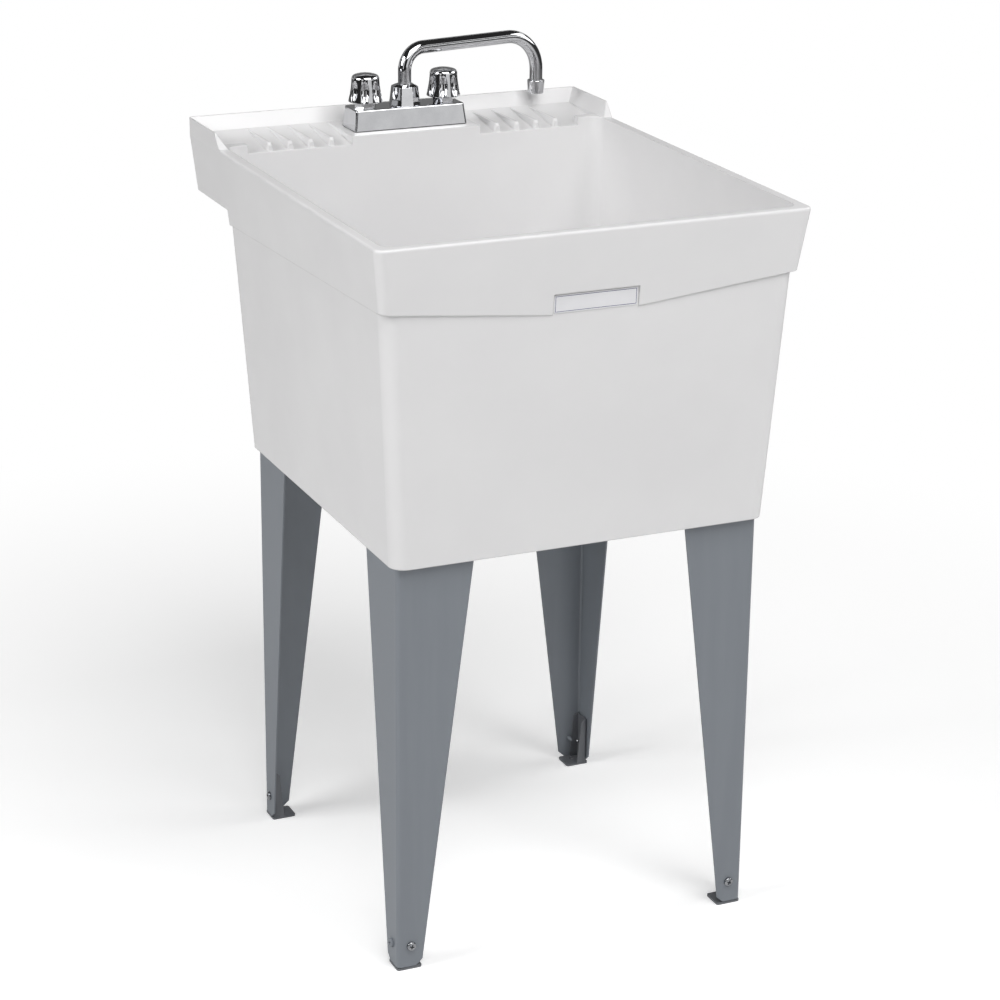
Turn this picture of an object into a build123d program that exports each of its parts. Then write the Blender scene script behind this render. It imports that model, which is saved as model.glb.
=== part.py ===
from build123d import *
import os
from math import asin, atan2, cos, degrees, radians, sin, sqrt, tan

# Floor-standing utility laundry sink: a moulded plastic tub on four folded steel legs,
# with a two-handle centreset faucet on its back deck and a drain in its floor.
# Millimetres. X runs to the right, Y to the back wall, Z up from the floor.
# The origin lies on the floor under the middle of the tub.

# ---------------------------------------------------------------- driving dimensions
# Tub, outside
tub_width = 508.0
tub_depth = 610.0
rim_height = 848.0
deck_depth = 98.5
rim_lip = 12.0
shell = 4.0
side_draft = 3.3
front_draft = 2.7
back_draft = 4.0
wall_corner_radius = 18.0
bowl_corner_radius = 16.0
floor_corner_radius = 28.0
floor_edge_radius = 14.0
rim_edge_radius = 2.5
rim_band = 4.0
# Overlap of shapes that are joined, and how far a cut runs past the face that it cuts
weld = 0.5
overshoot = 1.0

# Tub, apron band round the rim
apron_draft = 7.2
apron_corner_depth = 70.0
apron_centre_depth = 97.0
apron_rear_depth = 90.0
deck_skirt_depth = 72.0
deck_skirt_wall = 4.0
apron_front_radius = 10.0
apron_back_radius = 4.0
apron_side_start = 20.0
apron_corner_step = 2.0
apron_block_below = 8.0

# Tub, floor, and the edge below it that stands round the legs
floor_height = 530.0
standing_edge_depth = 43.0
floor_fall = 8.0
floor_fall_margin = 2.8
floor_thickness = 6.0
drain_land = 96.0
stiffener_wall = 3.0
stiffener_depth = 14.0
stiffener_ring_gap = 8.0

# Tub, back deck with its upstand and the two ribbed draining dishes
upstand_rise = 17.0
upstand_base = 11.0
upstand_top = 1.6
upstand_return = 14.0
upstand_slope_run = 16.0
platform_half_width = 83.0
dish_outer = 214.0
dish_ledge = 12.0
dish_fall = 10.0
deck_thickness = 5.0
rib_first = 107.5
rib_pitch = 26.0
rib_count = 4
rib_nose_width = 6.0
rib_nose_drop = 3.0
rib_nose_length = 4.0
rib_from_bowl = 1.0
rib_front_width = 8.5
rib_back_width = 2.4
rib_back_depth = 2.0
rib_back_inset = 2.0
rib_top_share = 0.62
rib_edge_share = 0.18

# Plate on the front of the apron
plate_width = 98.0
plate_height = 20.0
plate_thickness = 0.8
plate_corner_radius = 2.0
plate_gap = 1.5

# Legs: folded sheet steel, both flanges tapering to the foot
leg_side_inset = 35.5
leg_front_inset = 35.0
leg_back_inset = 130.5
leg_sheet = 1.8
leg_fold_radius = 5.0
leg_foot_width = 29.0
leg_top_width = 95.0
leg_clear_of_floor = 3.4
leg_toe_chamfer = 7.0
leg_socket_gap = 0.3
leg_socket_wall = 3.0

# Feet: levelling brackets inside the legs
foot_width = 30.0
foot_depth = 27.5
foot_plate = 2.6
foot_height = 63.0
foot_sheet = 2.0
foot_gap = 0.3
foot_wing_top = 8.0
foot_wing_foot = 13.0
foot_travel = 15.0
foot_edge = 0.5
foot_corner = 3.0
foot_anchor_hole = 6.0
foot_anchor_from_side = 15.6
foot_anchor_from_front = 10.0

# Screws that hold the feet in the legs
screw_from_fold = 16.5
screw_height = 29.0
screw_shank = 5.0
screw_length = 12.0
screw_head = 11.0
screw_head_height = 3.2
screw_head_radius = 2.0
screw_cross_length = 6.0
screw_cross_width = 1.3
screw_cross_depth = 1.8
screw_tip = 1.2
screw_gap = 0.15

# Drain
drain_flange_diameter = 76.0
drain_flange_thickness = 2.5
drain_flange_edge = 1.0
drain_flange_bevel = 6.0
drain_flange_gap = 0.3
drain_hole_gap = 0.8
drain_bore = 38.0
drain_mouth = 42.0
drain_mouth_depth = 12.0
drain_thread = 44.5
drain_body_length = 40.0
drain_bar = 3.0
drain_bar_depth = 3.0
drain_nut_width = 60.0
drain_nut_height = 9.0
drain_washer_width = 62.0
drain_gasket_thickness = 3.0
friction_ring_thickness = 1.0
slip_nut_width = 56.0
slip_nut_height = 20.0
slip_nut_lip = 2.5
tailpiece_diameter = 38.1
tailpiece_wall = 1.2
tailpiece_length = 62.0
tailpiece_neck = 39.0
tailpiece_neck_length = 6.0
tailpiece_flange = 43.5
tailpiece_flange_thickness = 2.0
tailpiece_washer_thickness = 3.0
slip_nut_gap = 0.3
nut_bevel = 1.2
thread_gap = 0.15

# Stopper
stopper_cap = 50.0
stopper_cap_height = 3.0
stopper_plug_height = 11.0
stopper_cap_bevel = 1.0
stopper_gap = 0.3
stopper_ring_diameter = 15.0
stopper_wire = 1.8
stopper_wire_gap = 0.45
stopper_lug_radius = 4.0
stopper_lug_height = 5.0
stopper_lug_thickness = 3.0

# Faucet on the deck
faucet_from_wall = 60.0
handle_spacing = 101.6
cover_length = 146.0
cover_width = 46.0
cover_height = 24.5
cover_taper = 3.0
cover_wall = 1.6
cover_edge_radius = 2.0
cover_corner_radius = 3.0
cover_hole_gap = 2.0
cover_gap = 0.3
base_gasket_thickness = 1.0
base_gasket_inset = 0.5
deck_hole = 28.0
waterway_diameter = 19.0
waterway_bore = 10.0
valve_tower = 24.0
valve_bore = 17.0
shank_thread = 20.9
shank_bore = 12.0
shank_length = 52.0
shank_supply_thread = 30.0
shank_groove_width = 2.0
shank_groove_depth = 0.6
shank_flange = 36.0
shank_flange_thickness = 3.0
shank_nut_width = 30.0
shank_nut_height = 7.0
shank_washer = 36.0
shank_washer_thickness = 2.0

# Valves and knobs
bonnet_width = 24.0
bonnet_height = 6.5
bonnet_barrel = 10.0
stem_diameter = 9.0
stem_flats = 7.0
stem_flats_gap = 0.05
stem_gap = 0.1
stem_notch_width = 5.0
stem_notch_inner = 2.5
stem_notch_height = 2.4
seat_height = 2.0
seat_port_length = 6.0
seat_port_width = 2.8
seat_port_offset = 4.0
stem_seal_section = 2.2
stem_seal_gap = 0.1
stem_running_gap = 0.03
knob_gap = 0.6
knob_foot_diameter = 41.0
knob_shoulder_diameter = 33.5
knob_shoulder_height = 26.0
knob_height = 34.0
knob_crown = 15.0
knob_crown_drop = 2.6
knob_shoulder_bulge = 0.9
knob_flute_runout = 2.5
knob_hub_inset = 1.0
knob_web = 3.0
knob_screw_gap = 0.15
knob_flutes = 8
knob_flute_radius = 8.5
knob_flute_depth = 2.6
knob_hub = 15.0
knob_wall = 4.2
knob_hollow_height = 18.0
stem_in_knob = 12.0
knob_screw_shank = 4.0
knob_screw_head = 7.6
knob_screw_head_height = 2.6
knob_screw_length = 14.0
knob_screw_crown = 1.0
cap_diameter = 15.0
cap_gap = 0.1
cap_seat_height = 30.0

# Spout
spout_diameter = 16.0
spout_wall = 1.2
spout_reach = 195.0
spout_turn = 101.0
spout_rise = 92.0
spout_drop = 63.0
spout_near_radius = 26.0
spout_far_radius = 44.0
spout_nut_foot = 38.5
spout_nut_top = 33.0
spout_nut_height = 24.5
spout_nut_sides = 8
spout_nut_turn = 12.0
spout_nut_cone = 2.5
spout_nut_lip = 3.0
spout_post = 27.0
spout_post_rise = 11.0
spout_insert = 22.0
spout_collar = 22.0
spout_collar_height = 3.0
spout_fit_gap = 0.1
spout_nut_gap = 0.2
spout_seal_section = 2.0
spout_seal_height = 4.0
spout_seal_gap = 0.01

# Aerator
aerator_top_diameter = 21.5
aerator_foot_diameter = 19.5
aerator_height = 16.5
aerator_mouth = 14.0
aerator_grip = 5.5
aerator_edge_radius = 1.2
aerator_washer_thickness = 1.5
aerator_washer_bore = 13.0
aerator_screen_thickness = 1.0
aerator_jets = 6
aerator_jet = 2.2
aerator_jet_circle = 8.0
aerator_centre_jet = 2.0

# ---------------------------------------------------------------- derived places
front_y = -tub_depth / 2
back_y = tub_depth / 2
bowl_back_y = back_y - deck_depth
deck_height = rim_height
upstand_height = rim_height + upstand_rise
dish_back_y = back_y - upstand_base
floor_drain_height = floor_height - floor_fall
tub_foot_height = floor_height - standing_edge_depth
under_top = floor_height - floor_thickness
faucet_y = back_y - faucet_from_wall
handle_x = handle_spacing / 2
spout_axis_height = deck_height + spout_rise
spout_outlet_height = spout_axis_height - spout_drop
leg_half_span_x = tub_width / 2 - leg_side_inset
leg_front_y = front_y + leg_front_inset
leg_back_y = back_y - leg_back_inset
# Each corner: the sign of its X, the Y of the leg's fold, and the way its side flange runs.
corners = {
    "fl": (-1, leg_front_y, 1),
    "fr": (1, leg_front_y, 1),
    "bl": (-1, leg_back_y, -1),
    "br": (1, leg_back_y, -1),
}


def inner_half_width(z):
    """Half width of the bowl's inside at height z."""
    return tub_width / 2 - rim_lip - (rim_height - z) * tan(radians(side_draft))


def inner_front(z):
    """Y of the bowl's inner front wall at height z."""
    return front_y + rim_lip + (rim_height - z) * tan(radians(front_draft))


def inner_back(z):
    """Y of the bowl's inner back wall at height z."""
    return bowl_back_y - (rim_height - z) * tan(radians(back_draft))


def bowl_outline(z, outset, radius):
    """Rounded outline of the bowl at height z, moved out by outset from the inner wall."""
    depth = inner_back(z) - inner_front(z) + 2 * outset
    centre = (inner_back(z) + inner_front(z)) / 2
    with BuildSketch(Plane.XY.offset(z)) as outline:
        with Locations((0, centre)):
            RectangleRounded(2 * (inner_half_width(z) + outset), depth, radius)
    return outline.sketch


def apron_inset(z):
    """How far the drafted apron band lies inside the rim's outline at height z."""
    return (rim_height - rim_band - z) * tan(radians(apron_draft))


def apron_outline(z):
    """Apron band at height z: drafted below the upright rim, and upright at the back."""
    with BuildSketch(Plane.XY.offset(z)) as outline:
        with Locations((0, apron_inset(z) / 2)):
            Rectangle(tub_width - 2 * apron_inset(z), tub_depth - apron_inset(z))
        fillet(outline.vertices().sort_by(Axis.Y)[:2], apron_front_radius)
        fillet(outline.vertices().sort_by(Axis.Y)[-2:], apron_back_radius)
    return outline.sketch


def socket_outline(z, side, fold_y, inward, out_x, out_y, margin):
    """L at height z round the top of a leg: its outer faces lie at out_x and out_y, and its
    inner faces and its ends lie a margin off the leg's."""
    near_x = leg_half_span_x - leg_sheet - margin
    near_y = fold_y + inward * (leg_sheet + margin)
    far_x = leg_half_span_x - leg_top_width - margin
    far_y = fold_y + inward * (leg_top_width + margin)
    with BuildSketch(Plane.XY.offset(z)) as outline:
        with BuildLine():
            Polyline(
                (side * out_x, out_y),
                (side * far_x, out_y),
                (side * far_x, near_y),
                (side * near_x, near_y),
                (side * near_x, far_y),
                (side * out_x, far_y),
                close=True,
            )
        make_face()
        inner_corner = outline.vertices().sort_by_distance((side * near_x, near_y, 0))
        fillet(inner_corner[0], leg_fold_radius - leg_sheet - leg_socket_gap)
    return outline.sketch


def dish_floor(y):
    """Height of the draining dishes' floor at y: it falls from the upstand to the bowl."""
    return rim_height - dish_fall * (dish_back_y - y) / (dish_back_y - bowl_back_y)


drain_y = (inner_front(floor_height) + inner_back(floor_height)) / 2

# ---------------------------------------------------------------- tub
# The space inside the bowl, with rounded floor edges, and the fall of the floor to the drain.
with BuildPart() as bowl_space:
    add(bowl_outline(floor_height, 0, floor_corner_radius))
    add(bowl_outline(rim_height, 0, bowl_corner_radius))
    loft()
    fillet(bowl_space.faces().sort_by(Axis.Z)[0].edges(), floor_edge_radius)
with BuildPart() as floor_space:
    with BuildSketch(Plane.XY.offset(floor_drain_height)):
        with Locations((0, drain_y)):
            Rectangle(drain_land, drain_land)
    with BuildSketch(Plane.XY.offset(floor_height)):
        fall_inset = floor_edge_radius + floor_fall_margin
        with Locations((0, drain_y)):
            Rectangle(
                2 * (inner_half_width(floor_height) - fall_inset),
                inner_back(floor_height) - inner_front(floor_height) - 2 * fall_inset,
            )
    loft()

# The open space under the floor, inside the tub's standing edge.
with BuildPart() as under_space:
    add(bowl_outline(tub_foot_height - overshoot, 0, wall_corner_radius - shell))
    add(bowl_outline(under_top, 0, wall_corner_radius - shell))
    loft()
    with BuildSketch(Plane.XY.offset(floor_drain_height - floor_thickness)):
        with Locations((0, drain_y)):
            Rectangle(drain_land + 2 * floor_thickness, drain_land + 2 * floor_thickness)
    with BuildSketch(Plane.XY.offset(under_top)):
        with Locations((0, drain_y)):
            Rectangle(
                2 * inner_half_width(floor_height),
                inner_back(floor_height) - inner_front(floor_height),
            )
    loft(mode=Mode.SUBTRACT)

# Blocks for the leg sockets, ending halfway through the wall that they stand against.
socket_wall_x = inner_half_width(under_top) + shell
socket_wall_y = {1: inner_front(under_top) - shell, -1: inner_back(under_top) + shell}
socket_margin = leg_socket_gap + leg_socket_wall
with BuildPart() as leg_sockets:
    for side, fold_y, inward in corners.values():
        wall_y = socket_wall_y[inward]
        add(
            socket_outline(
                tub_foot_height, side, fold_y, inward, socket_wall_x, wall_y, socket_margin
            )
        )
        extrude(amount=under_top + weld - tub_foot_height)
    add(bowl_outline(tub_foot_height, shell / 2, wall_corner_radius - shell / 2))
    add(bowl_outline(floor_height, shell / 2, wall_corner_radius - shell / 2))
    loft(mode=Mode.INTERSECT)

apron_low = rim_height - apron_centre_depth - apron_block_below
apron_side_y = front_y + apron_side_start
stiffener_low = floor_drain_height - floor_thickness - stiffener_depth
stiffener_ring = drain_washer_width / 2 + stiffener_ring_gap
deck_skirt_front_y = inner_back(rim_height) + shell - wall_corner_radius
dish_end = tub_width / 2 - upstand_base
rib_nose_y = bowl_back_y + rib_from_bowl
rib_front_y = rib_nose_y + rib_nose_length
rib_back_y = dish_back_y - rib_back_inset
rib_foot = rim_height - dish_fall - overshoot

with BuildPart() as tub:
    # Apron band and back deck as one drafted block with a softened rim.
    add(apron_outline(apron_low))
    add(apron_outline(rim_height - rim_band))
    loft()
    add(apron_outline(rim_height - rim_band))
    extrude(amount=rim_band)
    fillet(tub.faces().sort_by(Axis.Z)[-1].edges(), rim_edge_radius)
    # Its lower edge: a shallow V in front, a slow fall along the sides, level behind.
    with BuildSketch(Plane.XZ.offset(-front_y + overshoot)):
        with BuildLine():
            Polyline(
                (-tub_width / 2 - overshoot, rim_height - apron_corner_depth),
                (0, rim_height - apron_centre_depth),
                (tub_width / 2 + overshoot, rim_height - apron_corner_depth),
                (tub_width / 2 + overshoot, apron_low - overshoot),
                (-tub_width / 2 - overshoot, apron_low - overshoot),
                close=True,
            )
        make_face()
    extrude(amount=-(apron_side_start + overshoot), mode=Mode.SUBTRACT)
    with BuildSketch(Plane.YZ.offset(-tub_width / 2 - overshoot)):
        with BuildLine():
            Polyline(
                (apron_side_y, rim_height - apron_corner_depth - apron_corner_step),
                (deck_skirt_front_y, rim_height - apron_rear_depth),
                (deck_skirt_front_y, rim_height - deck_skirt_depth),
                (back_y + overshoot, rim_height - deck_skirt_depth),
                (back_y + overshoot, apron_low - overshoot),
                (apron_side_y, apron_low - overshoot),
                close=True,
            )
        make_face()
    extrude(amount=tub_width + 2 * overshoot, mode=Mode.SUBTRACT)
    # Bay for the plate in the middle of the front.
    plate_bay_top = rim_height - apron_corner_depth + plate_gap
    with BuildSketch(Plane.XZ.offset(-front_y + overshoot)):
        with Locations((0, plate_bay_top)):
            Rectangle(
                plate_width + 2 * plate_gap,
                plate_bay_top - apron_low + overshoot,
                align=(Align.CENTER, Align.MAX),
            )
    extrude(amount=-(apron_side_start + overshoot), mode=Mode.SUBTRACT)
    # Hollow under the deck: deeper under the faucet platform than under the dishes.
    hollow_front_y = bowl_back_y - rim_lip
    hollow_back_y = back_y - deck_skirt_wall
    hollow_length = hollow_back_y - hollow_front_y
    dish_under = rim_height - dish_fall - deck_thickness
    for z in (apron_low - overshoot, dish_under):
        with BuildSketch(Plane.XY.offset(z)):
            with Locations((0, hollow_front_y)):
                Rectangle(
                    tub_width - 2 * (apron_inset(z) + deck_skirt_wall),
                    hollow_length,
                    align=(Align.CENTER, Align.MIN),
                )
    loft(mode=Mode.SUBTRACT)
    with BuildSketch(Plane.XY.offset(dish_under - overshoot)):
        with Locations((0, hollow_front_y)):
            Rectangle(
                2 * platform_half_width - 2 * deck_thickness,
                hollow_length,
                align=(Align.CENTER, Align.MIN),
            )
    extrude(amount=dish_fall + overshoot, mode=Mode.SUBTRACT)
    # Bowl wall and standing edge.
    add(bowl_outline(tub_foot_height, shell, wall_corner_radius))
    add(bowl_outline(rim_height - deck_thickness / 2, shell, wall_corner_radius))
    loft()
    # Upstand round the back and the ends of the deck: upright outside, sloped inside.
    upstand_front_y = bowl_back_y - upstand_return
    upstand_length = back_y - upstand_front_y
    upstand_root = rim_edge_radius + overshoot
    with BuildSketch(Plane.XY.offset(rim_height - upstand_root)) as upstand_plan:
        with Locations((0, back_y)):
            Rectangle(tub_width, upstand_length, align=(Align.CENTER, Align.MAX))
        fillet(upstand_plan.vertices().sort_by(Axis.Y)[-2:], apron_back_radius)
    extrude(amount=upstand_rise + upstand_root)
    with BuildSketch(Plane.XY.offset(rim_height)):
        with Locations((0, back_y - upstand_base)):
            Rectangle(
                tub_width - 2 * upstand_base, upstand_length, align=(Align.CENTER, Align.MAX)
            )
    with BuildSketch(Plane.XY.offset(upstand_height)):
        with Locations((0, back_y - upstand_top)):
            Rectangle(
                tub_width - 2 * upstand_top,
                upstand_length,
                align=(Align.CENTER, Align.MAX),
            )
    loft(mode=Mode.SUBTRACT)
    with BuildSketch(Plane.YZ.offset(-tub_width / 2 - overshoot)):
        with BuildLine():
            Polyline(
                (upstand_front_y - overshoot, rim_height),
                (upstand_front_y, rim_height),
                (upstand_front_y + upstand_slope_run, upstand_height),
                (upstand_front_y + upstand_slope_run, upstand_height + overshoot),
                (upstand_front_y - overshoot, upstand_height + overshoot),
                close=True,
            )
        make_face()
    extrude(amount=tub_width + 2 * overshoot, mode=Mode.SUBTRACT)
    # Draining dishes: floors that fall to the bowl, with a ledge in front of their outer ends,
    # then the ribs that stand in them.
    for side in (-1, 1):
        for inner_x, outer_x, dish_front_y in (
            (platform_half_width, dish_outer, bowl_back_y - rim_lip),
            (dish_outer - weld, dish_end, bowl_back_y + dish_ledge),
        ):
            with BuildSketch(Plane.YZ.offset(side * inner_x)):
                with BuildLine():
                    Polyline(
                        (dish_back_y, rim_height),
                        (dish_front_y, dish_floor(dish_front_y)),
                        (dish_front_y, rim_height + overshoot),
                        (dish_back_y, rim_height + overshoot),
                        close=True,
                    )
                make_face()
            extrude(amount=side * (outer_x - inner_x), mode=Mode.SUBTRACT)
        for number in range(rib_count):
            rib_x = side * (rib_first + number * rib_pitch)
            for rib_y, width, low, high in (
                (rib_nose_y, rib_nose_width, rib_foot, rim_height - rib_nose_drop),
                (rib_front_y, rib_front_width, rib_foot, rim_height),
                (rib_back_y, rib_back_width, rim_height - rib_back_depth, rim_height),
            ):
                with BuildSketch(Plane.XZ.offset(-rib_y)) as rib:
                    with Locations((rib_x, low)):
                        Trapezoid(
                            width,
                            high - low,
                            degrees(atan2(high - low, width * (1 - rib_top_share) / 2)),
                            align=(Align.CENTER, Align.MIN),
                        )
                    fillet(rib.vertices().sort_by(Axis.Y)[-2:], rib_edge_share * width)
            loft(ruled=True)
    # Bowl and the space under its floor.
    add(bowl_space.part, mode=Mode.SUBTRACT)
    add(under_space.part, mode=Mode.SUBTRACT)
    # Stiffeners under the floor, in line with the drain, round a ring that clears its nuts.
    with BuildSketch(Plane.XY.offset(stiffener_low)):
        with Locations((0, drain_y)):
            Rectangle(2 * inner_half_width(floor_height), stiffener_wall)
            Rectangle(stiffener_wall, inner_back(floor_height) - inner_front(floor_height))
            Circle(stiffener_ring + stiffener_wall)
            Circle(stiffener_ring, mode=Mode.SUBTRACT)
    extrude(amount=floor_height - floor_thickness / 2 - stiffener_low)
    # Leg sockets: an upright slot in a block in each corner under the floor.
    add(leg_sockets.part)
    slot_low = tub_foot_height - overshoot
    slot_x = leg_half_span_x + leg_socket_gap
    for side, fold_y, inward in corners.values():
        slot_y = fold_y - inward * leg_socket_gap
        add(socket_outline(slot_low, side, fold_y, inward, slot_x, slot_y, leg_socket_gap))
        extrude(amount=under_top - slot_low, mode=Mode.SUBTRACT)
    # Fall of the floor to the drain.
    add(floor_space.part, mode=Mode.SUBTRACT)
    # Drain hole with a seat for the drain flange.
    with Locations((0, drain_y, floor_drain_height)):
        Cylinder(
            drain_flange_diameter / 2 + drain_flange_gap,
            2 * drain_flange_thickness,
            mode=Mode.SUBTRACT,
        )
        Cylinder(drain_thread / 2 + drain_hole_gap, 4 * floor_thickness, mode=Mode.SUBTRACT)
    # Faucet holes in the platform.
    with Locations((-handle_x, faucet_y, rim_height), (handle_x, faucet_y, rim_height)):
        Cylinder(deck_hole / 2, 4 * deck_thickness, mode=Mode.SUBTRACT)
tub.part.label = "tub"

# ---------------------------------------------------------------- plate on the apron
plate_top = plate_bay_top - plate_gap
with BuildPart() as front_plate:
    plate_plane = Plane(
        origin=(0, inner_front(plate_top) - shell, plate_top),
        x_dir=(1, 0, 0),
        z_dir=(0, -cos(radians(front_draft)), -sin(radians(front_draft))),
    )
    with BuildSketch(plate_plane):
        RectangleRounded(
            plate_width, plate_height, plate_corner_radius, align=(Align.CENTER, Align.MAX)
        )
    extrude(amount=plate_thickness)
front_plate.part.label = "front_plate"

# ---------------------------------------------------------------- legs, feet and their screws
leg_top = under_top
leg_taper = (leg_top_width - leg_foot_width) / leg_top
screw_clear = screw_shank + 2 * screw_gap


def make_leg(side, fold_y, inward):
    """One folded leg: side is the sign of its X, inward the way its side flange runs in Y."""
    fold_x = side * leg_half_span_x
    with BuildPart() as leg:
        with BuildSketch(Plane.XY.offset(leg_clear_of_floor)) as section:
            with BuildLine():
                Polyline(
                    (fold_x - side * leg_top_width, fold_y),
                    (fold_x, fold_y),
                    (fold_x, fold_y + inward * leg_top_width),
                    (fold_x - side * leg_sheet, fold_y + inward * leg_top_width),
                    (fold_x - side * leg_sheet, fold_y + inward * leg_sheet),
                    (fold_x - side * leg_top_width, fold_y + inward * leg_sheet),
                    close=True,
                )
            make_face()
            outer_bend = section.vertices().sort_by_distance((fold_x, fold_y, 0))
            fillet(outer_bend[0], leg_fold_radius)
            inner_bend = section.vertices().sort_by_distance(
                (fold_x - side * leg_sheet, fold_y + inward * leg_sheet, 0)
            )
            fillet(inner_bend[0], leg_fold_radius - leg_sheet)
        extrude(amount=leg_top - leg_clear_of_floor)
        # Taper of each flange, with its lower corner cut away.
        foot_run = leg_foot_width + leg_taper * leg_clear_of_floor
        toe = leg_clear_of_floor + leg_toe_chamfer
        toe_run = leg_foot_width + leg_taper * toe
        taper = (
            (leg_top_width + overshoot, leg_top + overshoot),
            (leg_top_width + leg_taper * overshoot, leg_top + overshoot),
            (toe_run, toe),
            (foot_run - leg_toe_chamfer, leg_clear_of_floor),
            (foot_run - leg_toe_chamfer, leg_clear_of_floor - overshoot),
            (leg_top_width + overshoot, leg_clear_of_floor - overshoot),
        )
        with BuildSketch(Plane.XZ.offset(-fold_y)):
            with BuildLine():
                Polyline(*[(fold_x - side * run, z) for run, z in taper], close=True)
            make_face()
        extrude(amount=leg_top_width / 2, both=True, mode=Mode.SUBTRACT)
        with BuildSketch(Plane.YZ.offset(fold_x)):
            with BuildLine():
                Polyline(*[(fold_y + inward * run, z) for run, z in taper], close=True)
            make_face()
        extrude(amount=leg_top_width / 2, both=True, mode=Mode.SUBTRACT)
        # Screw holes, one in each flange.
        with BuildSketch(Plane.XZ.offset(-fold_y)):
            with Locations((fold_x - side * screw_from_fold, screw_height)):
                Circle(screw_clear / 2)
        extrude(amount=2 * leg_sheet, both=True, mode=Mode.SUBTRACT)
        with BuildSketch(Plane.YZ.offset(fold_x)):
            with Locations((fold_y + inward * screw_from_fold, screw_height)):
                Circle(screw_clear / 2)
        extrude(amount=2 * leg_sheet, both=True, mode=Mode.SUBTRACT)
    return leg.part


def make_foot(side, fold_y, inward):
    """One levelling foot: a floor plate with an upright channel that slides inside the leg."""
    fold_x = side * leg_half_span_x
    web_x = fold_x - side * (leg_sheet + foot_gap)
    wing_y = fold_y + inward * (leg_sheet + foot_gap)
    far_y = fold_y + inward * (foot_depth - foot_edge)
    with BuildPart() as foot:
        # Floor plate with rounded corners.
        with BuildSketch() as plate:
            with Locations(
                (fold_x - side * foot_width / 2, fold_y + inward * foot_depth / 2)
            ):
                Rectangle(foot_width, foot_depth)
            fillet(plate.vertices(), foot_corner)
        extrude(amount=foot_plate)
        # Web against the side flange.
        with BuildSketch(Plane.YZ.offset(web_x)):
            with BuildLine():
                Polyline(
                    (wing_y, foot_plate / 2),
                    (far_y, foot_plate / 2),
                    (far_y, foot_height - foot_sheet),
                    (far_y - inward * foot_sheet, foot_height),
                    (wing_y, foot_height),
                    close=True,
                )
            make_face()
        extrude(amount=-side * foot_sheet)
        # Wings along both edges of the web, their free edges slanting out to the plate.
        for start in (wing_y, far_y - inward * foot_sheet):
            with BuildSketch(Plane.XZ.offset(-start)):
                with BuildLine():
                    Polyline(
                        (web_x, foot_plate / 2),
                        (web_x - side * foot_wing_foot, foot_plate / 2),
                        (web_x - side * foot_wing_top, foot_height - 2 * foot_sheet),
                        (web_x - side * (foot_wing_top - 2 * foot_sheet), foot_height),
                        (web_x, foot_height),
                        close=True,
                    )
                make_face()
            extrude(amount=-inward * foot_sheet)
        # Bends between the web and the wings, nested in the fold of the leg.
        for bend_y in (wing_y, far_y):
            bend = foot.edges().filter_by(Axis.Z).sort_by_distance((web_x, bend_y, foot_height / 2))
            fillet(bend[0], leg_fold_radius - leg_sheet - foot_gap)
        # Slot for the side screw, long enough for the travel, and a hole to fix the plate down.
        with BuildSketch(Plane.YZ.offset(web_x)):
            with Locations(
                (fold_y + inward * screw_from_fold, screw_height + foot_travel / 2)
            ):
                SlotCenterToCenter(foot_travel, screw_clear + 2 * screw_gap, rotation=90)
        extrude(amount=2 * foot_sheet, both=True, mode=Mode.SUBTRACT)
        with Locations(
            (fold_x - side * foot_anchor_from_side, fold_y + inward * foot_anchor_from_front)
        ):
            Cylinder(foot_anchor_hole / 2, 4 * foot_plate, mode=Mode.SUBTRACT)
    return foot.part


def make_screw(seat):
    """A domed self-tapping screw with a cross recess: its head sits on the seat plane and its
    shank runs back from it."""
    with BuildPart() as screw:
        with BuildSketch(seat):
            Circle(screw_head / 2)
        extrude(amount=screw_head_height)
        crown = seat.offset(screw_head_height)
        fillet(screw.faces().sort_by_distance(crown.origin)[0].edges(), screw_head_radius)
        with BuildSketch(crown):
            Rectangle(screw_cross_length, screw_cross_width)
            Rectangle(screw_cross_width, screw_cross_length)
        extrude(amount=-screw_cross_depth, mode=Mode.SUBTRACT)
        with BuildSketch(seat):
            Circle(screw_shank / 2)
        extrude(amount=-screw_length)
        tip = seat.offset(-screw_length).origin
        chamfer(screw.faces().sort_by_distance(tip)[0].edges(), screw_tip)
    return screw.part


legs = {}
feet = {}
screws = []
for name, (side, fold_y, inward) in corners.items():
    legs[name] = make_leg(side, fold_y, inward)
    legs[name].label = "leg_" + name
    feet[name] = make_foot(side, fold_y, inward)
    feet[name].label = "foot_" + name
    fold_x = side * leg_half_span_x
    screws.append(
        make_screw(
            Plane(
                origin=(fold_x - side * screw_from_fold, fold_y, screw_height),
                x_dir=(1, 0, 0),
                z_dir=(0, -inward, 0),
            )
        )
    )
    screws.append(
        make_screw(
            Plane(
                origin=(fold_x, fold_y + inward * screw_from_fold, screw_height),
                x_dir=(0, 1, 0),
                z_dir=(side, 0, 0),
            )
        )
    )
foot_screws = Compound(label="foot_screws", children=screws)

# ---------------------------------------------------------------- drain
drain_top = floor_drain_height
drain_seat = drain_top - drain_flange_thickness
drain_foot = drain_seat - drain_body_length
floor_under = floor_drain_height - floor_thickness
gasket_low = floor_under - drain_gasket_thickness
friction_low = gasket_low - friction_ring_thickness
drain_nut_low = friction_low - drain_nut_height
tail_washer_low = drain_foot - tailpiece_washer_thickness
tail_flange_low = tail_washer_low - tailpiece_flange_thickness
slip_nut_low = tail_flange_low - slip_nut_lip
tailpiece_foot = tail_washer_low - tailpiece_length
nut_bore = drain_thread + 2 * thread_gap


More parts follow.
